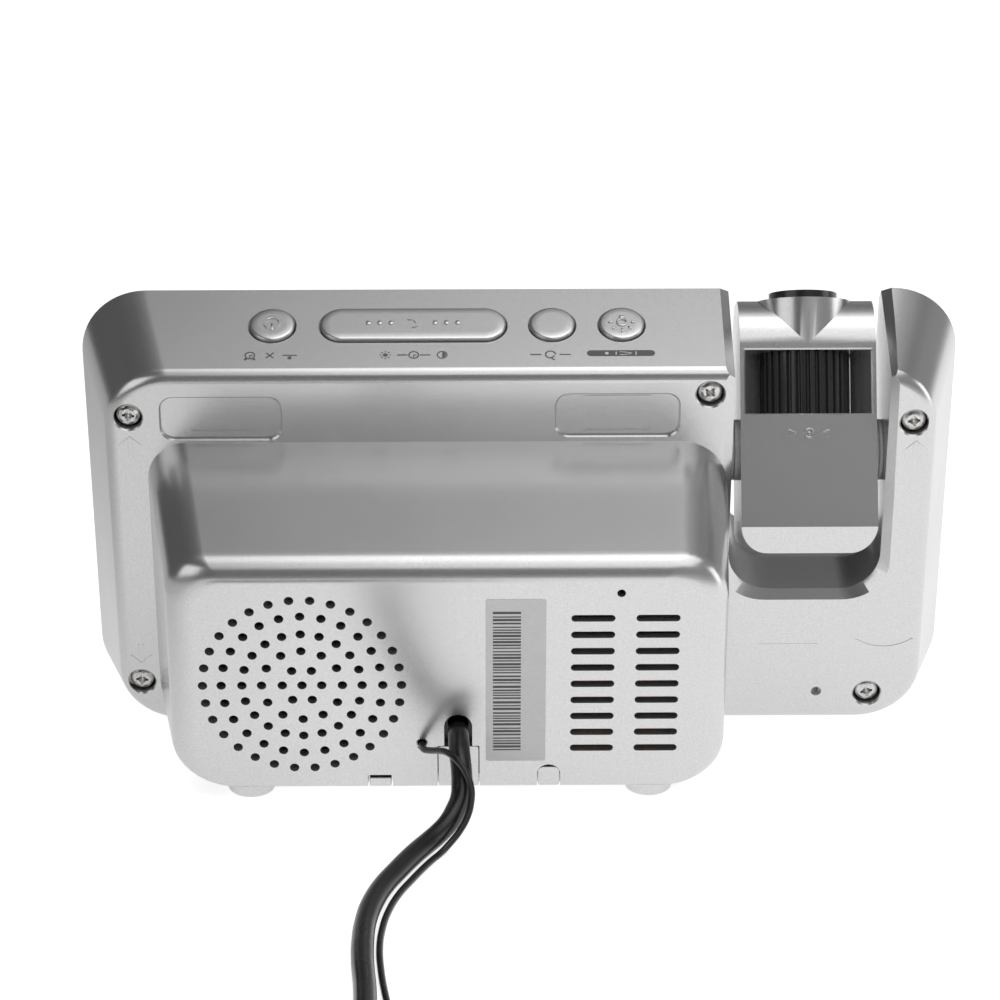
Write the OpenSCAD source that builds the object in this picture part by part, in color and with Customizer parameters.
// Projection alarm clock. A leaning case with a speaker box at its back, and a tilting
// projector arm in a U-shaped notch. The display looks along -Y and the speaker box faces +Y.
// Case pieces are drawn as [x, d, v]: d runs backwards from the case's back face, and v up
// along it from its lower edge. case_place() then leans them back over the rear feet.

/* [Case] */
// Width of the case at its front edge
case_w = 190; // [184:1:200]
// Height of the flat back face of the case
back_h = 86.6; // [84:0.2:96]
// Depth of the rear housing
housing_d = 25.2; // [24:0.2:30]
// Depth of the front frame
frame_d = 6; // [5.6:0.2:8]
// Corner radius of the case outline
corner_r = 13.5; // [10:0.5:16]
// Thickness of the moulded walls
wall = 2; // [1.6:0.1:2.4]
// How much narrower each side is at the back face
side_taper = 7.2; // [6:0.2:8]
// How much lower the top is at the back face
top_taper = 7.5; // [6:0.1:9]
// Rounding of the back face's edge
back_edge_r = 2.2; // [1:0.1:3]
// Rounding of the front face's edge
front_edge_r = 3; // [2:0.1:4]
// Backward lean of the case in degrees
lean = 12; // [9:0.5:15]
// Gap between a moulded piece and the piece that it fits
fit_gap = 0.2; // [0.1:0.05:0.3]

/* [Speaker box] */
// Depth of the speaker box behind the back face
box_d = 38; // [37:0.5:46]
// Distance from the middle of the case to the box's speaker side
box_x_speaker = 79.7; // [78:0.1:82]
// Distance from the middle of the case to the box's arm side
box_x_arm = 44.3; // [43:0.1:45]
// Taper of the box's speaker side over its depth
box_taper_speaker = 6.5; // [4:0.5:7]
// Taper of the box's arm side over its depth
box_taper_arm = 1.9; // [1:0.1:4]
// Height of the box where it leaves the back face
box_top = 70.7; // [68:0.1:74]
// Fall of the box's top over its depth
box_top_fall = 8.7; // [6:0.1:10]
// Radius of the box's upper corners
box_top_r = 8.5; // [6:0.5:11]
// Radius of the box's lower corners
box_low_r = 10; // [7:0.5:11]
// Rounding of the box's upright back edges
box_side_edge_r = 5; // [3:0.5:6]
// Rounding of the box's upper back edge
box_top_edge_r = 3; // [2:0.5:5]
// Rounding of the box's lower back edge
box_low_edge_r = 0.6; // [0.5:0.1:2]

/* [Feet] */
// Height of the rear feet
foot_h = 3; // [2:0.1:5]
// Diameter of the rear feet
foot_dia = 10.3; // [8:0.1:11]
// Thickness of the pads under the front edge
pad_h = 0.9; // [0.6:0.1:1.5]
// Length of a front pad
pad_w = 18; // [10:1:30]

/* [Notch and hinge] */
// Distance from the middle of the case to the notch's middle
notch_x = 61.7; // [61:0.1:63]
// Width of the notch
notch_w = 33; // [32.4:0.1:34]
// Height of the notch's floor
notch_floor = 32.8; // [30:0.1:36]
// Corner radius of the notch's floor
notch_r = 9; // [6:0.5:12]
// Chamfer round the notch's edge
notch_chamfer = 2; // [1:0.1:2.2]
// Height of the arm's pivot
pivot_v = 61.6; // [60:0.1:64]
// Depth of the arm's pivot in front of the back face
pivot_depth = 12; // [11:0.1:14]
// Forward tilt of the arm, measured from the case
arm_tilt = 34; // [0:1:45]
// Radius of the hinge pins
pin_r = 4; // [3:0.1:4.4]
// Radial play of the pins in their bushes
pin_play = 0.05; // [0.02:0.01:0.08]
// Radius of the flanges between the arm and the notch
flange_r = 6.6; // [6:0.1:7.5]
// Thickness of each of those flanges
flange_t = 0.9; // [0.6:0.05:1]

/* [Arm] */
// Width of the arm
arm_w = 29.2; // [28.4:0.1:29.4]
// Thickness of the arm
arm_t = 21.4; // [21.2:0.1:22.4]
// Height of the shoulder's centre above the pivot
shoulder_w = 21.8; // [21.8:0.1:26]
// Length of the arm's flat face below the pivot
face_low = 17.5; // [15:0.1:18]
// Length of the arm below the pivot
arm_low = 22.9; // [21:0.1:23]
// Half thickness of the arm at its lower end
tip_u = 7; // [5:0.1:9]
// Corner radius of the arm's lower end
arm_corner_r = 5.7; // [4:0.1:8]
// Height of the barrel's rim above the pivot
barrel_top = 32; // [31:0.1:35]
// Thickness of the arm's walls
arm_wall = 1.6; // [1.2:0.1:1.8]
// Width of the focus window at the arm's face
window_w = 27.3; // [24:0.1:28]
// Height of the focus window
window_h = 14.4; // [12:0.1:14.4]

/* [Optics] */
// Radius of the focus wheel
wheel_r = 9.95; // [9:0.05:10]
// Radius of the lens cell
cell_r = 7.4; // [6.8:0.1:7.6]
// Running play round the lens cell
cell_play = 0.06; // [0.03:0.01:0.09]
// How far the lens cell stands out of the barrel
cell_proud = 2; // [1:0.1:3]
// Focus travel of the cell each way
focus_travel = 2; // [1:0.1:2.4]
// Radius of the projection lens
lens_r = 5.8; // [5:0.1:6]

/* [Buttons and keys] */
// Diameter of the round top buttons
button_dia = 9.6; // [9:0.1:10]
// Length of the snooze bar
snooze_len = 39.5; // [36:0.5:42]
// Height of a top button above the case
button_proud = 0.9; // [0.8:0.1:1.4]
// Travel of a button or key
key_travel = 0.6; // [0.4:0.1:0.8]
// Distance of the button row from the front bezel's joint, along the top
button_front = 10.3; // [9.4:0.1:11]
// Width of a front key
key_w = 15; // [12:0.5:16]
// Height of a front key
key_h = 5; // [4:0.5:6]
// Height of the front keys above the lower edge of the back face
key_row_v = 8; // [7:0.5:9]

/* [Display] */
// Width of the display window
display_w = 110; // [100:1:111]
// Height of the display window
display_h = 54; // [50:1:54]
// Height of the window's lower edge
display_v = 24; // [24:0.5:25]
// Thickness of the window
display_t = 1.8; // [1.5:0.1:1.9]
// Height of a digit
digit_h = 34; // [26:1:36]

/* [Speaker and vents] */
// Distance of the speaker from the middle of the case
speaker_x = 45.9; // [45:0.1:47]
// Height of the speaker
speaker_v = 33.7; // [33:0.1:36]
// Outer radius of the speaker
speaker_r = 22.3; // [21:0.1:22.6]
// Diameter of a grille hole
grille_dia = 2; // [1.4:0.1:2.4]
// Height of a vent slot
vent_h = 1.6; // [1.2:0.1:2.2]
// Length of a vent slot
vent_len = 9.1; // [7:0.1:10]
// Distance between vent slots
vent_pitch = 4; // [3.4:0.1:4.2]

/* [Battery bay] */
// Diameter of a backup cell
cell_dia = 10.5; // [10:0.1:10.6]
// Length of a backup cell
cell_len = 44.5; // [40:0.5:44.5]
// Distance of the bay from the middle of the case
bay_x = 28; // [27:0.2:28]

/* [Cords] */
// Diameter of the power cord
power_dia = 4.4; // [3:0.1:5]
// Diameter of the aerial wire
aerial_dia = 1.4; // [1:0.1:1.8]

/* [Hidden] */
$fn = 64;
hull_fn = 32;
thin = 0.01;
silver = [0.78, 0.78, 0.78];
black = [0.07, 0.07, 0.07];
board_green = [0.10, 0.32, 0.18];
steel = [0.72, 0.71, 0.68];

// Case outline
half_w = case_w / 2;
front_d = -housing_d - frame_d;
bottom_drop = (foot_h - pad_h + housing_d * sin(lean)) / cos(lean);
front_top = back_h + top_taper;
top_angle = atan(top_taper / housing_d);
button_row = housing_d - button_front;
box_back_top = box_top - box_top_fall;
// Origin under the middle of the case's depth
y_front = (front_d + front_edge_r) * cos(lean) - (bottom_drop - front_edge_r) * sin(lean)
    - front_edge_r;
y_back = (box_d - box_top_edge_r) * cos(lean) + (box_back_top - box_top_edge_r) * sin(lean)
    + box_top_edge_r;
y_shift = -(y_front + y_back) / 2;

// Screws in the back face, as [x, v]
case_screw_at = [[83.1, 76.6], [83.6, 10.3], [-40, 81.6], [-83.5, 74.6], [-77, 6.4]];
screw_r = 1.3;
screw_head_r = 2.7;
screw_head_t = 1.7;
pilot_gap = 0.05;
boss_r = 3.8;
sink_r = 3;
sink_depth = 2.4;
// Screws in the base, as [x, y] from the case's lower back edge
base_back = box_d / cos(lean);
base_screw_at = [[-29.5, 5.2], [63, 6], [0.5, base_back - 6.45], [59, base_back - 14.85]];
base_boss_r = 3;
base_boss_top = 9;

// Hinge
// Space behind the notch's outer wall, and the share of it that a bush fills
hinge_space = half_w - side_taper * (1 - pivot_depth / housing_d) - wall - notch_x - notch_w / 2;
bush_len = 0.408 * hinge_space;
pin_len = notch_w / 2 + bush_len + 0.5;
bush_r = pin_r + 1.2;
arm_half = arm_w / 2;
arm_u = arm_t / 2;

// Focus parts, heights along the arm
wheel_floor = shoulder_w - window_h - 0.8;
wheel_w0 = wheel_floor + 0.3;
wheel_w1 = shoulder_w - 0.8;
chamber_r = wheel_r + 0.3;
chamber_top = wheel_w1 + 0.3;
lamp_chamber_top = wheel_floor - arm_wall;
cell_w0 = wheel_floor + focus_travel + 0.4;
cell_w1 = barrel_top + cell_proud;
bore_r = cell_r + cell_play;

// Top buttons: distances from the middle of the case
alarm_off_x = 52.8;
snooze_x = 22.8;
flip_x = -6.8;
projection_x = -21.6;
key_board_n = 8.6;
board_t = 1.6;
switch_h = key_board_n - 5.5;
flange_play = 0.25;

// Front keys
front_key_x = [-14, 10, 34, 58];
key_proud = 1.2;
front_board_d = front_d + wall + 4.6;
key_flange_t = 0.8;
display_x = -33 + 55;
pad_t = 3.5;
ledge = 2;
reflector_t = 5;
reflector_d = front_d + pad_t;
display_board_d = reflector_d + reflector_t;
display_board_x = [-35, 79];
display_board_v = [17, 86];
display_boss_at = [[-31, 82.8], [75, 82.8], [-31, 19.8], [75, 19.8]];
segment_w = 3.6;
digit_w = 17;
digit_pitch = 24;

// Rear board
main_board_d = -wall - 4.6;
main_board_x = [-35, 76];
main_board_top = 79;
main_post_at = [[0, 76], [42, 76]];

// Battery bay, in base coordinates
bay_half = cell_len / 2 + 1.5;
bay_y0 = 4.2;
bay_y1 = bay_y0 + 2 * cell_dia + 1.4;
tray_wall = 1.2;
bay_top = wall + cell_dia + 1.2;
door_y0 = 3.8;
door_y1 = box_d / cos(lean) - 6;
door_half_t = (wall - 0.05) / 2;
door_hinge_y = door_y0 + door_half_t;
latch_x = [27.5, 32.5];
latch_w = latch_x[1] - latch_x[0] - 2 * fit_gap;
latch_mid = (latch_x[0] + latch_x[1]) / 2;

// Outlets in the box's back wall
cord_x = 13.5;
cord_v = 22.8;
cord_slot_w = 5.9;
cord_slot_top = 26.2;
flap_x = [9.05, 17.9];
flap_top = 18.4;
bush_out = 3;
aerial_x = 21.1;
aerial_v = 18.9;
latch_top = 11.1;
arch_x = -5.55;
arch_r = 2.45;
arch_top = 13.6;

// Route of the power cord from its bush to its coil, and from the coil to the plug
power_route = [
    [13.4, 35.8, 16.8], [13.3, 38.6, 15.9], [13.1, 41.2, 14.5], [12.8, 43.6, 12.6],
    [12.7, 45.7, 10.4], [12.9, 47.6, 8.1], [14, 49.8, 6], [15.5, 52.3, 4.3],
    [17.5, 55, 3.1], [19.6, 57.9, 2.4], [21.5, 61.4, 2.2], [23.5, 66, 2.2],
    [25.6, 71.4, 2.2], [28, 78, 2.2], [30, 86, 2.2], [31.2, 95, 2.2],
    [31.5, 104, 2.2], [31.2, 114, 2.2], [30.5, 124, 2.2], [30.1, 136, 2.2],
    [30, 150, 2.2], [30, 166, 2.2], [30, 182, 2.2]
];
power_tail = [[30, 182, 6.6], [30, 187, 6.6], [30, 193, 6.6], [30, 199, 6.5], [30, 205, 6.5]];
power_coil_at = [62.7, 182];
power_coil_r = 26.1;
power_coil_columns = 4;
power_coil_layers = 2;
// Route of the aerial wire from its hole to its coil
aerial_route = [
    [21.1, 30.4, 14], [21.1, 32.4, 13.6], [20.8, 34.6, 13.5], [19.3, 37.2, 14.2],
    [17.5, 39.8, 15.2], [15.6, 42.8, 15.9], [13.6, 45.6, 15.3], [11.8, 47.8, 13.4],
    [10.8, 49.6, 11], [10.8, 51.5, 8.6], [11.5, 53.4, 6.3], [13.1, 55.6, 4],
    [15.2, 57.6, 2], [17, 59.8, 0.9], [18.6, 62.6, 0.7], [20.6, 67.2, 0.7],
    [22.7, 72.6, 0.7], [25, 79, 0.7], [26.9, 86.8, 0.7], [28, 95.4, 0.7],
    [28.3, 104, 0.7], [27.8, 113.6, 0.7], [26.8, 123.4, 0.7], [25.6, 132, 0.7],
    [24.2, 141, 0.7], [23.3, 150, 0.7], [23.1, 160, 0.7]
];
aerial_tail = [
    [23.1, 160, 4.9], [23.1, 163, 4.8], [23, 166, 4.1], [22.6, 169, 2.9], [22, 172, 1.6], [21.2, 174.6, 0.8]
];
aerial_coil_at = [13.3, 160];
aerial_coil_r = 8.4;
aerial_coil_columns = 3;
aerial_coil_layers = 4;
plug_turn = 90;
plug_h = 13;
plug_w = 20;
relief_len = 13;
plug_len = 24;

// ---------- Placing ----------

module case_place() {
    translate([0, y_shift, foot_h]) rotate([-lean, 0, 0]) children();
}

// Level pieces: y backwards and z up from the case's lower back edge
module base_place() {
    translate([0, y_shift, foot_h]) children();
}

module arm_place() {
    case_place()
        translate([-notch_x, -pivot_depth, pivot_v])
            rotate([arm_tilt, 0, 0])
                children();
}

// Square to the sloping top face, z outwards
module top_place(x) {
    case_place()
        translate([x, -button_row * cos(top_angle), back_h + button_row * sin(top_angle)])
            rotate([-top_angle, 0, 0])
                children();
}

// A flat outline in (x, v), given a thickness from d0 to d1
module upright(d0, d1) {
    translate([0, d1, 0]) rotate([90, 0, 0]) linear_extrude(d1 - d0) children();
}

// A side outline in (d, v), given a width from x0 to x1
module sideways(x0, x1) {
    translate([x0, 0, 0]) rotate([90, 0, 90]) linear_extrude(x1 - x0) children();
}

// Round pieces about the d direction at (x, v)
module facing_back(x, v) {
    translate([x, 0, v]) rotate([-90, 0, 0]) children();
}

module rounded(w, h, r) {
    translate([-w / 2 + r, -h / 2]) square([w - 2 * r, h]);
    translate([-w / 2, -h / 2 + r]) square([w, h - 2 * r]);
    for (x = [-1, 1], y = [-1, 1])
        translate([x * (w / 2 - r), y * (h / 2 - r)]) circle(r);
}

module bar(len, dia) {
    if (len > dia) square([len - dia, dia], center = true);
    for (s = len > dia ? [-1, 1] : [0]) translate([s * (len - dia) / 2, 0]) circle(dia / 2);
}

module screw(len) {
    cylinder(r = screw_r, h = len + thin);
    translate([0, 0, len]) difference() {
        cylinder(r1 = screw_head_r, r2 = screw_head_r - 0.7, h = screw_head_t);
        for (a = [0, 90]) rotate(a)
            translate([-1.6, -0.35, screw_head_t - 0.9]) cube([3.2, 0.7, 1.2]);
    }
}

// ---------- Case shapes ----------

// How far an edge of radius r has turned in at depth t behind its face
function edge_inset(t, r) = t >= r ? 0 : r - sqrt(r * r - (r - t) * (r - t));
function edge_steps(r) = [0, 0.12 * r, 0.4 * r, r];

// One outline of the case: at depth d, pulled in by inset
module case_outline(d, inset) {
    share = min(1, -d / housing_d);
    hw = half_w - side_taper * (1 - share) - inset;
    low = -bottom_drop * share + inset;
    high = back_h + top_taper * share - inset;
    r = max(1, corner_r - 2 * (1 - share) - inset);
    for (x = [-1, 1], v = [low + r, high - r])
        facing_back(x * (hw - r), v) translate([0, 0, d]) cylinder(r = r, h = thin, $fn = hull_fn);
}

module housing_block(inset, d0, d1, edge_r) {
    hull() {
        case_outline(d0, inset);
        for (t = edge_steps(edge_r)) case_outline(d1 - t - thin, inset + edge_inset(t, edge_r));
    }
}

// The front frame's outline in (x, v), pulled in by inset
module frame_outline(inset) {
    h = front_top + bottom_drop - 2 * inset;
    translate([0, inset - bottom_drop + h / 2]) rounded(case_w - 2 * inset, h, corner_r - inset);
}

// One level of the front frame's rounded edge
module frame_level(d, inset) {
    for (x = [-1, 1], v = [corner_r - bottom_drop, front_top - corner_r])
        facing_back(x * (half_w - corner_r), v) translate([0, 0, d])
            cylinder(r = corner_r - inset, h = thin, $fn = hull_fn);
}

module frame_block() {
    r = front_edge_r;
    intersection() {
        upright(front_d - 1, -housing_d) frame_outline(0);
        hull() {
            for (t = [0, 0.12, 0.4]) frame_level(front_d + t * r, edge_inset(t * r, r));
            frame_level(-housing_d + 1, -1.2);
        }
    }
}

// One outline of the speaker box at depth d; t is the distance from its back face
module box_outline(d, t, inset) {
    share = d / box_d;
    side = inset + edge_inset(t, max(0.5, box_side_edge_r - inset));
    x0 = -(box_x_arm - box_taper_arm * share) + side;
    x1 = box_x_speaker - box_taper_speaker * share - side;
    low = d * tan(lean) + inset + edge_inset(t, max(0.5, box_low_edge_r - inset));
    high = box_top - box_top_fall * share - inset - edge_inset(t, max(0.5, box_top_edge_r - inset));
    rt = box_top_r - inset;
    rl = box_low_r - inset;
    for (x = [x0 + rt, x1 - rt])
        facing_back(x, high - rt) translate([0, 0, d]) cylinder(r = rt, h = thin, $fn = hull_fn);
    for (x = [x0 + rl, x1 - rl])
        facing_back(x, low + rl) translate([0, 0, d]) cylinder(r = rl, h = thin, $fn = hull_fn);
}

module box_block(inset, d0, d1) {
    hull() {
        box_outline(d0, box_d, inset);
        for (t = [0, 0.5, 1.5, 3, 5])
            box_outline(d1 - t - thin, t, inset);
    }
}

module notch_shape(grow) {
    hw = notch_w / 2 + grow;
    r = notch_r + grow;
    floor_v = notch_floor - grow;
    translate([-notch_x, 0]) {
        translate([-hw, floor_v + r]) square([2 * hw, front_top]);
        translate([r - hw, floor_v]) square([2 * (hw - r), r + 1]);
        for (s = [-1, 1]) translate([s * (hw - r), floor_v + r]) circle(r);
    }
}

// The chamfer round the notch at a face: d0 is the face, dir points out of the case
module notch_bevel(d0, dir) {
    hull() for (step = [0, 1]) {
        grow = step * (notch_chamfer + 0.5);
        d = d0 + dir * (grow - notch_chamfer);
        hw = notch_w / 2 + grow;
        r = notch_r + grow;
        for (s = [-1, 1])
            facing_back(-notch_x + s * (hw - r), notch_floor - grow + r)
                translate([0, 0, d]) cylinder(r = r, h = thin, $fn = hull_fn);
        translate([-notch_x - hw, d, front_top + corner_r]) cube([2 * hw, thin, 1]);
    }
}

// Walls that line the notch between two depths, with their tops under the case's top
module notch_liner(d0, v0, d1, v1) {
    intersection() {
        upright(d0, d1) difference() {
            notch_shape(wall);
            notch_shape(0);
        }
        sideways(-notch_x - notch_w, -notch_x + notch_w)
            polygon([[d0, 0], [d1, 0], [d1, v1], [d0, v0]]);
    }
}

// ---------- Casing ----------

module grille_holes() {
    // Rings of holes: [how many, ring radius]
    rings = [[1, 0], [6, 4.1], [12, 8.4], [20, 12.5], [24, 16.8], [30, 20.7]];
    for (ring = rings, i = [0 : ring[0] - 1])
        facing_back(speaker_x, speaker_v) rotate(360 * i / ring[0])
            translate([ring[1] * speaker_r / 22.3, 0, box_d - wall - 1])
                cylinder(r = grille_dia / 2, h = wall + 2, $fn = 20);
}

module vent_slots() {
    for (x = [-14.5, -27.9], i = [-4 : 4])
        translate([x, 0, speaker_v + 0.1 + i * vent_pitch])
            upright(box_d - wall - 1, box_d + 1) bar(vent_len, vent_h, $fn = 24);
}

module rear_bosses() {
    for (p = case_screw_at)
        facing_back(p[0], p[1]) translate([0, 0, -housing_d + 0.2])
            cylinder(r = boss_r, h = housing_d - 1);
    for (p = main_post_at)
        facing_back(p[0], p[1]) translate([0, 0, main_board_d + board_t])
            cylinder(r = 2.6, h = -main_board_d - board_t - 1);
    // Ring that holds the speaker
    facing_back(speaker_x, speaker_v) translate([0, 0, box_d - wall - 3])
        difference() {
            cylinder(r = speaker_r + 1.4, h = 4);
            translate([0, 0, -1]) cylinder(r = speaker_r + 0.1, h = 6);
        }
}

module rear_housing() {
    color(silver) {
        difference() {
            union() {
                case_place() difference() {
                    union() {
                        housing_block(0, -housing_d, 0, back_edge_r);
                        box_block(0, -wall, box_d);
                    }
                    housing_block(wall, -housing_d - thin, -wall, 0.6);
                    box_block(wall, -2 * wall, box_d - wall);
                }
                case_place() notch_liner(-housing_d, front_top - 1, 0, back_h - 1);
                case_place() rear_bosses();
                base_bosses();
                for (x = key_post_x) top_place(x) translate([0, 0, -key_board_n])
                    cylinder(r = 2.4, h = key_board_n - 1);
            }
            case_place() housing_openings();
            base_openings();
            for (x = [alarm_off_x, flip_x, projection_x])
                top_place(x) translate([0, 0, -key_board_n / 2])
                    cylinder(r = button_dia / 2 + fit_gap, h = key_board_n);
            top_place(snooze_x) translate([0, 0, -key_board_n / 2])
                linear_extrude(key_board_n) bar(snooze_len + 2 * fit_gap, button_dia + 2 * fit_gap);
            for (x = key_post_x) top_place(x) translate([0, 0, -key_board_n - 1])
                cylinder(r = screw_r + pilot_gap, h = 6);
        }
    }
}

key_board_x = [-35, 66];
key_post_x = [-31.6, 62.6];

module base_bosses() {
    // Screw pillars over the base cover, each with a rib to the nearest wall
    back_y = box_d / cos(lean) - 1.5;
    rib_to = [[3.5 - box_x_arm, 5.2], [box_x_speaker - 4.4, 6], [0.5, back_y], [box_x_speaker - 7.5, base_screw_at[3][1]]];
    base_place() for (i = [0 : 3]) {
        p = base_screw_at[i];
        q = rib_to[i];
        translate([p[0], p[1], wall]) cylinder(r = base_boss_r, h = base_boss_top - wall);
        translate([min(p[0], q[0]) - 1, min(p[1], q[1]) - 1, 4.5])
            cube([abs(p[0] - q[0]) + 2, abs(p[1] - q[1]) + 2, base_boss_top - 4.5]);
    }
}

// The base cover's outline, pulled in by gap
module base_shape(gap) {
    y0 = wall + 0.2 + gap;
    y1 = box_d / cos(lean) - wall - 0.25 - gap;
    x0 = -box_x_arm + box_low_r + gap;
    x1 = box_x_speaker - box_low_r - 0.4 - gap;
    polygon([[x0, y0], [x1, y0], [x1 - box_taper_speaker, y1], [x0 + box_taper_arm, y1]]);
}

module base_openings() {
    base_place() translate([0, 0, -1]) linear_extrude(wall + 1.4) base_shape(0);
    for (p = base_screw_at) base_place() translate([p[0], p[1], 0])
        cylinder(r = screw_r + pilot_gap, h = base_boss_top - 1.5);
}

module housing_openings() {
    upright(-housing_d - 1, 1) notch_shape(0);
    notch_bevel(0, 1);
    for (p = case_screw_at) facing_back(p[0], p[1]) {
        translate([0, 0, -sink_depth]) cylinder(r = sink_r, h = sink_depth + 1);
        translate([0, 0, -housing_d]) cylinder(r = screw_r + 0.2, h = housing_d);
    }
    for (p = main_post_at) facing_back(p[0], p[1])
        translate([0, 0, main_board_d]) cylinder(r = screw_r + pilot_gap, h = 4.4);
    // Bush seats in the notch's walls
    for (s = [-1, 1]) translate([-notch_x + s * (notch_w / 2 - 1), -pivot_depth, pivot_v])
        rotate([0, s * 90, 0]) cylinder(r = bush_r + pilot_gap, h = wall + 2);
    // Shallow moulded panels
    for (p = [[63.5, 76.2, 26], [-20.5, 76.7, 26.6]])
        upright(-0.8, 1) translate([p[0], p[1]]) rounded(p[2], 10.5, 3);
    grille_holes();
    vent_slots();
    facing_back(-20.2, 55.8) translate([0, 0, box_d - wall - 1]) cylinder(r = 0.9, h = wall + 2, $fn = 20);
    facing_back(-65.7, 7) translate([0, 0, -wall - 1]) cylinder(r = 1.15, h = wall + 2, $fn = 20);
    facing_back(aerial_x, aerial_v) translate([0, 0, box_d - wall - 1])
        cylinder(r = aerial_dia / 2 + 0.25, h = wall + 2, $fn = 24);
    // Cord slot, and the openings for the base cover's flap, tab and the door's latch
    upright(box_d - wall - 1, box_d + 1) {
        translate([cord_x, cord_slot_top - cord_slot_w / 2]) circle(cord_slot_w / 2);
        translate([cord_x - cord_slot_w / 2, 0]) square([cord_slot_w, cord_slot_top - cord_slot_w / 2]);
        translate([flap_x[0], 0]) square([flap_x[1] - flap_x[0], flap_top]);
        translate([latch_x[0], 0]) square([latch_x[1] - latch_x[0], latch_top]);
        translate([arch_x, arch_top - arch_r]) circle(arch_r);
        translate([arch_x - arch_r, 0]) square([2 * arch_r, arch_top - arch_r]);
    }
}

module front_frame() {
    rim_v = front_top - front_edge_r;
    color(silver) case_place() difference() {
        union() {
            difference() {
                frame_block();
                upright(front_d + wall, -housing_d + 1) frame_outline(wall);
            }
            notch_liner(front_d + 0.6, rim_v, -housing_d, front_top - 1);
            // Pad round the display window
            upright(front_d + 0.5, front_d + pad_t) translate([display_x, display_v + display_h / 2])
                square([display_w + 6, display_h + 6], center = true);
            for (p = case_screw_at) facing_back(p[0], p[1]) translate([0, 0, front_d + 1])
                cylinder(r = boss_r - 0.2, h = frame_d - 1);
            for (p = display_boss_at) facing_back(p[0], p[1]) translate([0, 0, front_d + 1])
                cylinder(r = 2.6, h = display_board_d - front_d - 1);
            for (x = front_board_post_x) facing_back(x, key_row_v) translate([0, 0, front_d + 1])
                cylinder(r = 2.4, h = front_board_d - front_d - 1);
        }
        upright(front_d - 1, -housing_d + 1) notch_shape(0);
        notch_bevel(front_d, -1);
        upright(front_d - 1, front_d + display_t) translate([display_x, display_v + display_h / 2])
            square([display_w, display_h], center = true);
        upright(front_d + 1, front_d + pad_t + 1) translate([display_x, display_v + display_h / 2])
            square([display_w - 2 * ledge, display_h - 2 * ledge], center = true);
        for (p = case_screw_at) facing_back(p[0], p[1])
            translate([0, 0, front_d + 1.4]) cylinder(r = screw_r + pilot_gap, h = frame_d);
        for (p = display_boss_at) facing_back(p[0], p[1])
            translate([0, 0, display_board_d - 4.4]) cylinder(r = screw_r + pilot_gap, h = 6);
        for (x = front_board_post_x) facing_back(x, key_row_v)
            translate([0, 0, front_board_d - 4.4]) cylinder(r = screw_r + pilot_gap, h = 6);
        for (x = front_key_x) upright(front_d - 1, front_d + wall + 1) translate([x, key_row_v])
            rounded(key_w + 2 * fit_gap, key_h + 2 * fit_gap, 1.4);
    }
}

front_board_post_x = [-2, 46];

module display_window() {
    color([0.15, 0.05, 0.05]) case_place()
        upright(front_d, front_d + display_t) translate([display_x, display_v + display_h / 2])
            square([display_w - 0.1, display_h - 0.1], center = true);
}

module base_cover() {
    color(silver) difference() {
        union() {
            base_place() linear_extrude(wall) base_shape(fit_gap);
            cover_tab(flap_x[0] + fit_gap, flap_x[1] - fit_gap, flap_top - fit_gap, 0.5);
            cover_tab(arch_x - arch_r + fit_gap, arch_x + arch_r - fit_gap, arch_top - 0.7, 1.2);
        }
        base_place() translate([bay_x, 0, -1]) linear_extrude(wall + 2) {
            translate([-bay_half - fit_gap, door_y0 - fit_gap])
                square([2 * (bay_half + fit_gap), door_y1 - door_y0 + 2 * fit_gap]);
            translate([latch_x[0] - bay_x, door_y1]) square([latch_w + 2 * fit_gap, box_d]);
        }
        for (p = base_screw_at) base_place() translate([p[0], p[1], -1]) {
            cylinder(r = screw_r + 0.2, h = wall + 2);
            cylinder(r = screw_head_r + 0.3, h = 1 + wall / 2);
        }
    }
}

// An upright tab on the base cover, with round upper corners, that fills an opening in the
// box's back wall
module cover_tab(x0, x1, top, r) {
    foot_v = box_d * tan(lean) + 0.3;
    case_place() upright(box_d - wall + 0.1, box_d - 0.05) {
        translate([x0, foot_v]) square([x1 - x0, top - r - foot_v]);
        translate([x0 + r, foot_v]) square([x1 - x0 - 2 * r, top - foot_v]);
        for (x = [x0 + r, x1 - r]) translate([x, top - r]) circle(r);
    }
    base_place() translate([x0 + 0.4, box_d / cos(lean) - 4, 0]) cube([x1 - x0 - 0.8, 3.5, wall]);
}

module label_plate() {
    color([0.86, 0.86, 0.86]) case_place()
        upright(box_d, box_d + 0.2) translate([-4.8, 14.7]) square([12.5, 39.7]);
}

// ---------- Display ----------

// The seven bars of a digit, as [x, y, upright] in half digits
segment_places = [[0, 1, 0], [0.5, 0.5, 1], [0.5, -0.5, 1], [0, -1, 0], [-0.5, -0.5, 1],
    [-0.5, 0.5, 1], [0, 0, 0]];
// Which bars are lit, for the time 10:08
lit = [[1, 2], [0, 1, 2, 3, 4, 5], [0, 1, 2, 3, 4, 5], [0, 1, 2, 3, 4, 5, 6]];
digit_x = [1.6 * digit_pitch, 0.6 * digit_pitch, -0.6 * digit_pitch, -1.6 * digit_pitch];

module segment(i) {
    s = segment_places[i];
    len = s[2] == 1 ? digit_h / 2 - 1 : digit_w - 1;
    // Seen from the front, +x is on the left
    translate([-s[0] * digit_w, s[1] * digit_h / 2]) rotate(s[2] * 90)
        polygon([[-len / 2, 0], [-len / 2 + segment_w / 2, segment_w / 2],
            [len / 2 - segment_w / 2, segment_w / 2], [len / 2, 0],
            [len / 2 - segment_w / 2, -segment_w / 2], [-len / 2 + segment_w / 2, -segment_w / 2]]);
}

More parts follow.
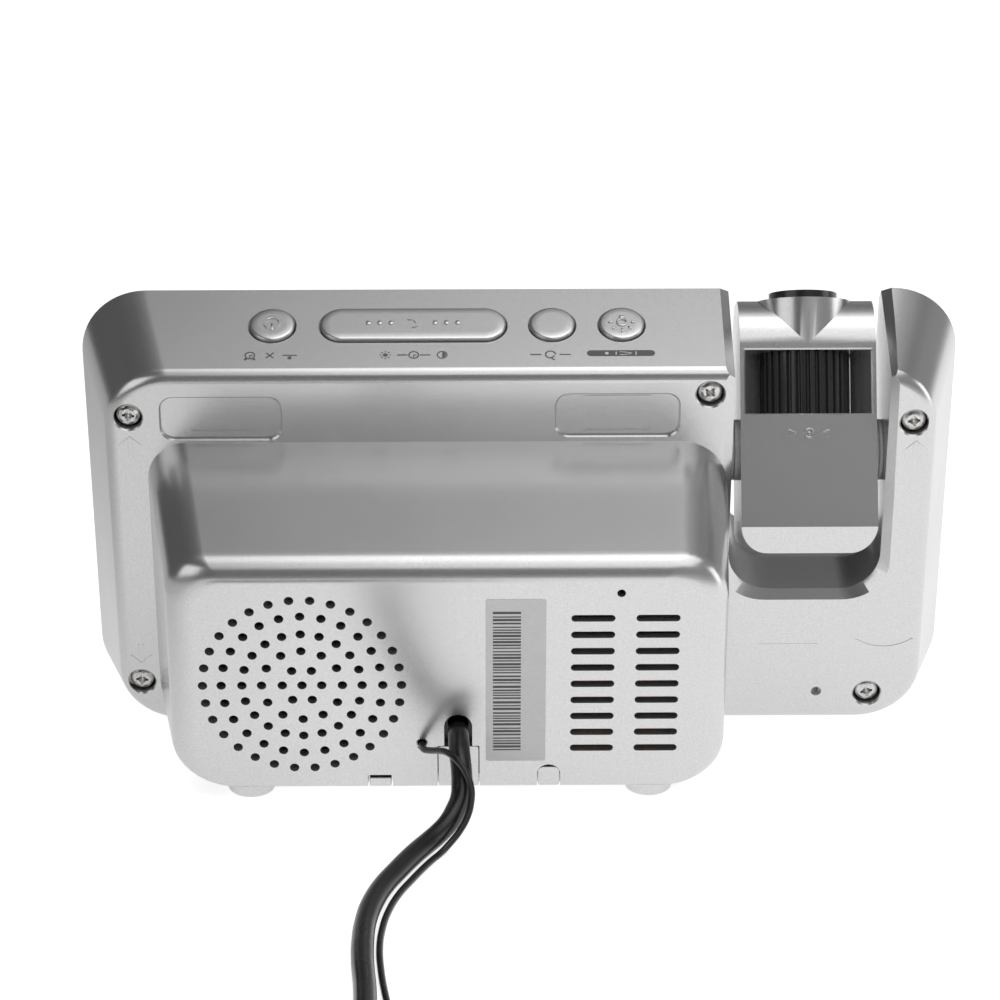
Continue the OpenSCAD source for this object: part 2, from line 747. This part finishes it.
module lit_shapes() {
    translate([display_x, display_v + display_h / 2]) {
        for (k = [0 : 3], i = lit[k]) translate([digit_x[k], 0]) segment(i);
        for (s = [-1, 1]) translate([0, s * digit_h / 5]) circle(2);
    }
}

module led_reflector() {
    color(black) case_place() difference() {
        upright(reflector_d, display_board_d) translate([display_x, display_v + display_h / 2])
            square([display_w + 2, display_h + 2], center = true);
        upright(reflector_d - 1, reflector_d + 1) lit_shapes();
    }
}

module led_segments() {
    color([0.9, 0.12, 0.08]) case_place() upright(reflector_d + 0.1, reflector_d + 1) lit_shapes();
}

module board(x, v, d) {
    color(board_green) case_place() difference() {
        upright(d, d + board_t) translate([x[0], v[0]]) square([x[1] - x[0], v[1] - v[0]]);
        children();
    }
}

module display_board() {
    board(display_board_x, display_board_v, display_board_d)
        for (p = display_boss_at) facing_back(p[0], p[1])
            translate([0, 0, display_board_d - 1]) cylinder(r = screw_r + 0.2, h = board_t + 2);
}

module main_board() {
    low = main_board_d * bottom_drop / housing_d + wall + 0.8;
    board(main_board_x, [low, main_board_top], main_board_d)
        for (p = main_post_at) facing_back(p[0], p[1])
            translate([0, 0, main_board_d - 1]) cylinder(r = screw_r + 0.2, h = board_t + 2);
}

module main_chips() {
    color(black) case_place()
        for (p = [[-20, 62, 14, 14], [6, 30, 18, 8], [58, 62, 10, 10]])
            upright(main_board_d + board_t, main_board_d + board_t + 1.8)
                translate([p[0], p[1]]) square([p[2], p[3]], center = true);
}

module board_capacitors() {
    color([0.12, 0.13, 0.2]) case_place()
        for (p = [[-2, 58, 5], [10, 58, 4], [20, 58, 3], [62, 44, 4]])
            facing_back(p[0], p[1]) translate([0, 0, main_board_d + board_t]) cylinder(r = p[2], h = 10);
}

module key_board() {
    color(board_green) difference() {
        top_place(0) translate([key_board_x[0], -3.1, -key_board_n - board_t])
            cube([key_board_x[1] - key_board_x[0], 10, board_t]);
        for (x = key_post_x) top_place(x) translate([0, 0, -key_board_n - board_t - 1])
            cylinder(r = screw_r + 0.2, h = board_t + 2);
    }
}

module top_switches() {
    color(black) for (x = [alarm_off_x, snooze_x, flip_x, projection_x])
        top_place(x) translate([-3, -3, -key_board_n]) cube([6, 6, switch_h]);
}

module front_key_board() {
    x0 = front_key_x[0] - 8;
    x1 = front_key_x[3] + 8;
    board([x0, x1], [key_row_v - 5, key_row_v + 5], front_board_d)
        for (x = front_board_post_x) facing_back(x, key_row_v)
            translate([0, 0, front_board_d - 1]) cylinder(r = screw_r + 0.2, h = board_t + 2);
}

module front_switches() {
    top = front_d + wall + flange_play + key_flange_t + key_travel + 0.1;
    color(black) case_place() for (x = front_key_x)
        upright(top, front_board_d) translate([x, key_row_v]) square([6, 6], center = true);
}

// ---------- Speaker and power ----------

module speaker_frame() {
    face = box_d - wall;
    color([0.35, 0.35, 0.36]) case_place() facing_back(speaker_x, speaker_v)
        rotate_extrude() polygon([[speaker_r - 2.4, face], [speaker_r, face],
            [speaker_r, face - 2.4], [speaker_r - 1, face - 2.4], [11.6, face - 13.6],
            [2, face - 13.6], [2, face - 12.6], [11, face - 12.6], [speaker_r - 2.4, face - 2.2]]);
}

module speaker_cone() {
    face = box_d - wall;
    color([0.1, 0.1, 0.1]) case_place() facing_back(speaker_x, speaker_v)
        rotate_extrude() polygon([[0, face - 6.2], [4.4, face - 7.4], [speaker_r - 4.2, face - 1.2],
            [speaker_r - 2.6, face - 0.4], [speaker_r - 2.6, face - 1.4],
            [speaker_r - 4, face - 2.2], [4.4, face - 8.2], [4.4, face - 12.5], [0, face - 12.5]]);
}

module speaker_magnet() {
    color([0.25, 0.25, 0.26]) case_place() facing_back(speaker_x, speaker_v)
        translate([0, 0, box_d - wall - 21.6]) cylinder(r = 10.5, h = 8);
}

core_at = [-19.3, 21.5];
core_w = 27;
core_stack = 13;
core_h = 25;
leg_w = 8;

module transformer_core() {
    color([0.3, 0.3, 0.32]) base_place() translate([core_at[0], core_at[1], wall])
        rotate([90, 0, 0]) linear_extrude(core_stack, center = true) difference() {
            translate([-core_w / 2, 0]) square([core_w, core_h]);
            for (s = [-1, 1]) translate([s * (leg_w / 2 + 2.8) - 2.8, 4]) square([5.6, core_h - 8]);
        }
}

module transformer_coil() {
    color([0.75, 0.6, 0.15]) base_place() translate([core_at[0], core_at[1], wall + 4.1])
        linear_extrude(core_h - 8.2) difference() {
            square([leg_w + 11, core_stack + 11], center = true);
            square([leg_w + 0.1, core_stack + 0.1], center = true);
        }
}

module battery_tray() {
    color([0.2, 0.2, 0.2]) base_place() translate([bay_x, 0, wall]) difference() {
        translate([-bay_half - tray_wall, bay_y0 - tray_wall, 0])
            cube([2 * (bay_half + tray_wall), bay_y1 - bay_y0 + 2 * tray_wall, bay_top - wall + tray_wall]);
        translate([-bay_half, bay_y0, -1])
            cube([2 * bay_half, bay_y1 - bay_y0, bay_top - wall + 1]);
    }
}

function cell_y(i) = bay_y0 + 0.4 + cell_dia / 2 + i * (cell_dia + 0.5);
cell_z = wall + 0.4 + cell_dia / 2;

module backup_cells() {
    color([0.5, 0.5, 0.52]) base_place() for (i = [0, 1])
        translate([bay_x, cell_y(i), cell_z]) rotate([0, i == 0 ? 90 : -90, 0]) {
            translate([0, 0, -cell_len / 2]) cylinder(r = cell_dia / 2, h = cell_len - 1);
            translate([0, 0, cell_len / 2 - 1]) cylinder(r = 1.9, h = 1);
        }
}

module battery_contacts() {
    color(steel) base_place() for (i = [0, 1], s = [-1, 1])
        translate([bay_x + s * (bay_half - 0.05), cell_y(i), cell_z]) rotate([0, -s * 90, 0]) {
            translate([-4, -4, 0]) cube([8, 8, 0.4]);
            cylinder(r1 = 3.4, r2 = 2.2, h = 1.3);
        }
}

// ---------- Screws, feet and pads ----------

module case_screws() {
    shank = housing_d - sink_depth + frame_d - 2.4;
    color(steel) case_place() for (p = case_screw_at) facing_back(p[0], p[1])
        translate([0, 0, -sink_depth - shank]) rotate(p[0]) screw(shank);
}

module base_screws() {
    color(steel) base_place() for (p = base_screw_at)
        translate([p[0], p[1], base_boss_top - 2]) mirror([0, 0, 1]) {
            cylinder(r = screw_r, h = base_boss_top - 2 - wall / 2 + thin);
            translate([0, 0, base_boss_top - 2 - wall / 2])
                cylinder(r = screw_head_r, h = wall / 2 - 0.1);
        }
}

module board_screws() {
    len = board_t + 4;
    color(steel) {
        case_place() {
            for (p = display_boss_at) facing_back(p[0], p[1])
                translate([0, 0, display_board_d - 4]) short_screw(len);
            for (x = front_board_post_x) facing_back(x, key_row_v)
                translate([0, 0, front_board_d - 4]) short_screw(len);
            for (p = main_post_at) facing_back(p[0], p[1])
                translate([0, 0, main_board_d + board_t + 2.4]) mirror([0, 0, 1]) short_screw(board_t + 2.4);
        }
        for (x = key_post_x) top_place(x)
            translate([0, 0, 4 - key_board_n]) mirror([0, 0, 1]) short_screw(len);
    }
}

module short_screw(len) {
    cylinder(r = screw_r, h = len + thin);
    translate([0, 0, len]) cylinder(r = 2.3, h = 0.8);
}

foot_at = [[57.6, base_back - 5.45], [-26.9, base_back - 5.45]];

module rear_feet() {
    color([0.6, 0.6, 0.6]) base_place() for (p = foot_at) translate([p[0], p[1], -foot_h]) {
        cylinder(r1 = foot_dia / 2 - 0.6, r2 = foot_dia / 2, h = 0.6);
        translate([0, 0, 0.6]) cylinder(r = foot_dia / 2, h = foot_h - 0.6);
    }
}

module front_pads() {
    y0 = -housing_d * cos(lean) - bottom_drop * sin(lean) + 0.6;
    rise = tan(atan(bottom_drop / housing_d) - lean);
    depth = 5;
    z0 = pad_h - foot_h;
    color(black) base_place() for (s = [-1, 1])
        sideways(s * (half_w - 35) - pad_w / 2, s * (half_w - 35) + pad_w / 2)
            polygon([[y0, -foot_h], [y0 + depth, -foot_h],
                [y0 + depth, z0 + (depth + 0.6) * rise - 0.02], [y0, z0 + 0.6 * rise - 0.02]]);
}

// ---------- Cords ----------

// Unit vector, and the directions across a route at point i
function unit(a) = a / norm(a);
function along(p, i) = unit(p[min(i + 1, len(p) - 1)] - p[max(i - 1, 0)]);
function across(t) = unit(cross(t, [0, 0, 1]));

module tube(route, dia, sides) {
    n = len(route);
    points = [for (i = [0 : n - 1], k = [0 : sides - 1])
        let (t = along(route, i), a = across(t), b = cross(a, t), w = 360 * (k + 0.5) / sides)
            route[i] + dia / 2 * (cos(w) * a + sin(w) * b)];
    walls = [for (i = [0 : n - 2], k = [0 : sides - 1])
        let (m = (k + 1) % sides)
            [i * sides + k, i * sides + m, (i + 1) * sides + m, (i + 1) * sides + k]];
    first = [for (k = [0 : sides - 1]) sides - 1 - k];
    last = [for (k = [0 : sides - 1]) (n - 1) * sides + k];
    polyhedron(points, concat([first, last], walls), convexity = 6);
}

module coil_solid(at, r, dia, columns, layers) {
    translate([at[0], at[1], 0]) rotate_extrude()
        translate([r - columns * dia / 2, 0]) square([columns * dia, layers * dia]);
}

module cord_bush() {
    mid = cord_slot_top - cord_slot_w / 2;
    r = cord_slot_w / 2 - 0.06;
    color(black) case_place() difference() {
        union() {
            upright(box_d - wall - 4, box_d) {
                translate([cord_x, mid]) circle(r);
                translate([cord_x - r, flap_top + 0.1]) square([2 * r, mid - flap_top - 0.1]);
            }
            upright(box_d - wall - 3, box_d - wall - 0.05) translate([cord_x, mid - 1])
                square([10, 8], center = true);
            facing_back(cord_x, cord_v) translate([0, 0, box_d - thin])
                cylinder(r1 = power_dia / 2 + 0.6, r2 = power_dia / 2 + 0.3, h = bush_out);
        }
        facing_back(cord_x, cord_v) translate([0, 0, box_d - 12])
            cylinder(r = power_dia / 2 + 0.05, h = 12 + bush_out + 1);
    }
}

module power_cord() {
    color(black) {
        tube(power_route, power_dia, 10);
        tube(power_tail, power_dia, 10);
    }
}

module power_cord_coil() {
    color(black) coil_solid(power_coil_at, power_coil_r, power_dia, power_coil_columns, power_coil_layers);
}

module plug_place() {
    start = power_tail[len(power_tail) - 1];
    translate([start[0], start[1], plug_h / 2]) rotate([0, 0, plug_turn]) rotate([0, 90, 0])
        children();
}

module plug_body() {
    color(black) plug_place() {
        cylinder(r1 = power_dia / 2 + 0.4, r2 = power_dia / 2 + 2.2, h = relief_len);
        translate([0, 0, relief_len]) linear_extrude(plug_len) rounded(plug_h, plug_w, 3);
    }
}

module plug_blades() {
    color([0.8, 0.75, 0.55]) plug_place()
        for (s = [-1, 1]) translate([-3.15, s * 6.35 - 0.75, relief_len + plug_len])
            cube([6.3, 1.5, 16]);
}

module aerial_wire() {
    color(black) {
        tube(aerial_route, aerial_dia, 8);
        tube(aerial_tail, aerial_dia, 8);
    }
}

module aerial_wire_coil() {
    color(black)
        coil_solid(aerial_coil_at, aerial_coil_r, aerial_dia, aerial_coil_columns, aerial_coil_layers);
}

// ---------- Hinge ----------

module hinge_side(s) {
    translate([-notch_x, -pivot_depth, pivot_v]) rotate([0, s * 90, 0]) children();
}

module pivot_bushes() {
    color([0.7, 0.7, 0.7]) case_place() for (s = [-1, 1]) hinge_side(s) difference() {
        union() {
            translate([0, 0, notch_w / 2 - flange_t]) cylinder(r = flange_r, h = flange_t);
            translate([0, 0, notch_w / 2 - thin]) cylinder(r = bush_r, h = bush_len);
        }
        cylinder(r = pin_r + pin_play, h = notch_w);
    }
}

module pivot_pins() {
    color(silver) arm_place() for (s = [-1, 1]) rotate([0, s * 90, 0]) difference() {
        union() {
            cylinder(r = pin_r, h = pin_len);
            translate([0, 0, arm_half]) cylinder(r = flange_r, h = notch_w / 2 - flange_t - 0.1 - arm_half);
            translate([0, 0, arm_half - arm_wall - 1.5]) cylinder(r = pin_r + 1.2, h = 1.45);
        }
        translate([0, 0, -1]) cylinder(r = pin_r - 1.4, h = pin_len + 2);
        translate([0, 0, -thin]) cylinder(r = pin_r + 2, h = arm_half - arm_wall - 1.5);
    }
}

// ---------- Arm ----------

// Side outline of the arm in (u, w), pulled in by inset
module arm_side(inset) {
    u = arm_u - inset;
    polygon([[-u, shoulder_w], [-u, -face_low + inset / 3], [-tip_u + inset / 2, -arm_low + inset],
        [tip_u - inset / 2, -arm_low + inset], [u, -face_low + inset / 3], [u, shoulder_w]]);
}

// Face outline of the arm in (x, w), with its lower corners rounded
module arm_face(inset, top) {
    hw = arm_half - inset;
    r = arm_corner_r - inset;
    low = -arm_low + inset;
    translate([-hw, low + r]) square([2 * hw, top - low - r]);
    translate([r - hw, low]) square([2 * (hw - r), r + 1]);
    for (s = [-1, 1]) translate([s * (hw - r), low + r]) circle(r);
}

module arm_block() {
    intersection() {
        union() {
            sideways(-arm_half, arm_half) arm_side(0);
            translate([-arm_half, 0, shoulder_w]) rotate([0, 90, 0])
                cylinder(r = arm_u, h = arm_w);
        }
        upright(-arm_t, arm_t) arm_face(0, min(barrel_top, shoulder_w + arm_t));
    }
    cylinder(r = arm_u, h = barrel_top);
}

// The focus window: its sides slope in from the arm's face to the wheel
module focus_window() {
    half = window_w / 2;
    inner = wheel_r - 0.2;
    deep = arm_u - 8;
    for (s = [-1, 1]) translate([0, 0, wheel_floor + 0.3])
        linear_extrude(window_h - 0.2)
            polygon([[-inner, s * deep], [-half, s * arm_u], [-half, s * (arm_u + 2)],
                [half, s * (arm_u + 2)], [half, s * arm_u], [inner, s * deep]]);
}

arm_screw_at = [[-8.4, -15], [8.4, -15]];
arm_boss_r = 2.6;

module arm_hollow() {
    low_inner = -arm_low + arm_wall;
    difference() {
        intersection() {
            sideways(-arm_half + arm_wall, arm_half - arm_wall) arm_side(arm_wall);
            upright(-arm_t, arm_t) arm_face(arm_wall, lamp_chamber_top);
        }
        for (p = arm_screw_at) translate([p[0], 0, p[1]]) rotate([90, 0, 0])
            cylinder(r = arm_boss_r, h = arm_t, center = true);
    }
    translate([0, 0, wheel_floor]) cylinder(r = chamber_r, h = chamber_top - wheel_floor);
    translate([0, 0, lamp_chamber_top - 1]) cylinder(r = bore_r - 1.4, h = arm_wall + 2);
    translate([0, 0, chamber_top - 1]) cylinder(r = bore_r, h = barrel_top);
    // Keyway that stops the lens cell from turning
    translate([-1, 0, shoulder_w + 4]) cube([2, bore_r + 1, barrel_top]);
    focus_window();
    for (s = [-1, 1]) rotate([0, s * 90, 0]) cylinder(r = pin_r + pilot_gap, h = arm_w);
}

module arm_shell(front) {
    difference() {
        arm_block();
        arm_hollow();
        translate([-arm_w, front ? 0 : -2 * arm_t, -2 * arm_low]) cube([2 * arm_w, 2 * arm_t, 4 * arm_low]);
        children();
    }
}

module arm_rear_shell() {
    color(silver) arm_place() arm_shell(false)
        for (p = arm_screw_at) translate([p[0], -1, p[1]]) rotate([-90, 0, 0])
            cylinder(r = screw_r + pilot_gap, h = 7);
}

module arm_front_shell() {
    color(silver) arm_place() arm_shell(true)
        for (p = arm_screw_at) translate([p[0], 1, p[1]]) rotate([90, 0, 0]) {
            cylinder(r = screw_r + 0.2, h = arm_u + 2);
            translate([0, 0, arm_u - 1]) cylinder(r = 2.5, h = 4);
        }
}

module arm_screws() {
    color(steel) arm_place() for (p = arm_screw_at) translate([p[0], 5, p[1]]) rotate([90, 0, 0])
        short_screw(arm_u + 3);
}

module lamp_board() {
    u = arm_u - arm_wall - 0.2;
    hw = arm_half - arm_wall - 0.2;
    color(board_green) arm_place() translate([-hw, -u, -9.6]) cube([2 * hw, 2 * u, board_t]);
}

module lamp() {
    color([0.9, 0.2, 0.15]) arm_place() translate([0, 0, board_t - 9.6]) {
        cylinder(r = 2.9, h = 1);
        translate([0, 0, 1 - thin]) cylinder(r = 2.5, h = 3);
        translate([0, 0, 4 - 2 * thin]) sphere(2.5);
    }
}

module light_tube() {
    tube_bottom = board_t - 9.6 + 0.1;
    color(black) arm_place() difference() {
        union() {
            translate([0, 0, tube_bottom]) cylinder(r = 5, h = -tube_bottom + 1);
            translate([-9, -arm_u + arm_wall + 0.2, 0.2]) cube([18, 2 * (arm_u - arm_wall - 0.2), 1]);
        }
        translate([0, 0, tube_bottom - 1]) cylinder(r = 4, h = 4 - tube_bottom);
    }
}

module condenser_lens() {
    color([0.8, 0.88, 0.92]) arm_place() {
        translate([0, 0, 1.25]) cylinder(r = 5.6, h = 1);
        translate([0, 0, 2.25 - thin]) cylinder(r1 = 5.6, r2 = 3.4, h = 1);
    }
}

module digit_screen() {
    top = lamp_chamber_top - 0.1;
    color([0.2, 0.2, 0.25]) arm_place()
        translate([-7, -7, top - 1.4]) cube([14, 14, 1.4]);
}

module focus_wheel() {
    ribs = 30;
    color(black) arm_place() translate([0, 0, wheel_w0]) difference() {
        cylinder(r = wheel_r, h = wheel_w1 - wheel_w0);
        translate([0, 0, -1]) cylinder(r = bore_r, h = 40);
        for (i = [0 : ribs - 1]) rotate(360 * i / ribs)
            translate([wheel_r + 0.25, 0, 0.6])
                cylinder(r = 0.75, h = wheel_w1 - wheel_w0 + 1, $fn = 16);
    }
}

module lens_cell() {
    color(black) arm_place() {
        translate([0, 0, cell_w0]) difference() {
            cylinder(r = cell_r, h = cell_w1 - cell_w0);
            translate([0, 0, -1]) cylinder(r = lens_r - 0.8, h = 60);
            translate([0, 0, cell_w1 - cell_w0 - 3]) cylinder(r = lens_r, h = 60);
        }
        translate([-0.9, cell_r - 0.4, shoulder_w + 7]) cube([1.8, 1.2, barrel_top - shoulder_w - 9]);
    }
}

module projection_lens() {
    color([0.7, 0.8, 0.9]) arm_place() translate([0, 0, cell_w1 - 3])
        cylinder(r = lens_r - 0.02, h = 2);
}

// ---------- Buttons and keys ----------

module top_button(x, len) {
    color(silver) top_place(x) {
        translate([0, 0, -wall - flange_play]) linear_extrude(wall + flange_play + button_proud)
            bar(len, button_dia);
        translate([0, 0, -wall - flange_play - 1]) linear_extrude(1 + thin)
            bar(len + 2, button_dia + 2);
        translate([0, 0, switch_h - key_board_n + key_travel + 0.1])
            cylinder(r = 1.5, h = key_board_n - switch_h - key_travel - 0.1 - wall);
    }
}

module alarm_off_button() {
    top_button(alarm_off_x, button_dia);
}

module snooze_button() {
    top_button(snooze_x, snooze_len);
}

module flip_button() {
    top_button(flip_x, button_dia);
}

module projection_button() {
    top_button(projection_x, button_dia);
}

module front_key(x) {
    color(silver) case_place() {
        upright(front_d - key_proud, front_d + wall + flange_play + thin) translate([x, key_row_v])
            rounded(key_w, key_h, 1.2);
        upright(front_d + wall + flange_play, front_d + wall + flange_play + key_flange_t)
            translate([x, key_row_v]) rounded(key_w + 1.6, key_h + 1.6, 1.2);
    }
}

module battery_door() {
    color(silver) base_place() translate([bay_x, 0, 0.05]) {
        translate([-bay_half, door_hinge_y, 0])
            cube([2 * bay_half, door_y1 - door_hinge_y, 2 * door_half_t]);
        // Rounded hinge edge
        translate([-bay_half, door_hinge_y, door_half_t]) rotate([0, 90, 0])
            cylinder(r = door_half_t, h = 2 * bay_half);
        // Grip ridges
        for (i = [0 : 2]) translate([-6, door_y1 - 8 + 2 * i, -0.5]) cube([12, 0.8, 0.5 + thin]);
        // Latch that fills its opening in the box's back wall
        translate([latch_mid - bay_x - latch_w / 2, door_y1 - 1, 0])
            cube([latch_w, box_d / cos(lean) - door_y1 + 0.8, 2 * door_half_t]);
    }
}

// ---------- Output ----------

rear_housing();
front_frame();
display_window();
base_cover();
label_plate();
led_reflector();
led_segments();
display_board();
main_board();
main_chips();
board_capacitors();
key_board();
top_switches();
front_key_board();
front_switches();
speaker_frame();
speaker_cone();
speaker_magnet();
transformer_core();
transformer_coil();
battery_tray();
backup_cells();
battery_contacts();
case_screws();
base_screws();
board_screws();
rear_feet();
front_pads();
pivot_bushes();
cord_bush();
power_cord();
power_cord_coil();
plug_body();
plug_blades();
aerial_wire();
aerial_wire_coil();
arm_rear_shell();
arm_front_shell();
arm_screws();
pivot_pins();
lamp_board();
lamp();
light_tube();
condenser_lens();
digit_screen();
focus_wheel();
lens_cell();
projection_lens();
alarm_off_button();
snooze_button();
flip_button();
projection_button();
front_key(front_key_x[0]);  // front_key_1
front_key(front_key_x[1]);  // front_key_2
front_key(front_key_x[2]);  // front_key_3
front_key(front_key_x[3]);  // front_key_4
battery_door();
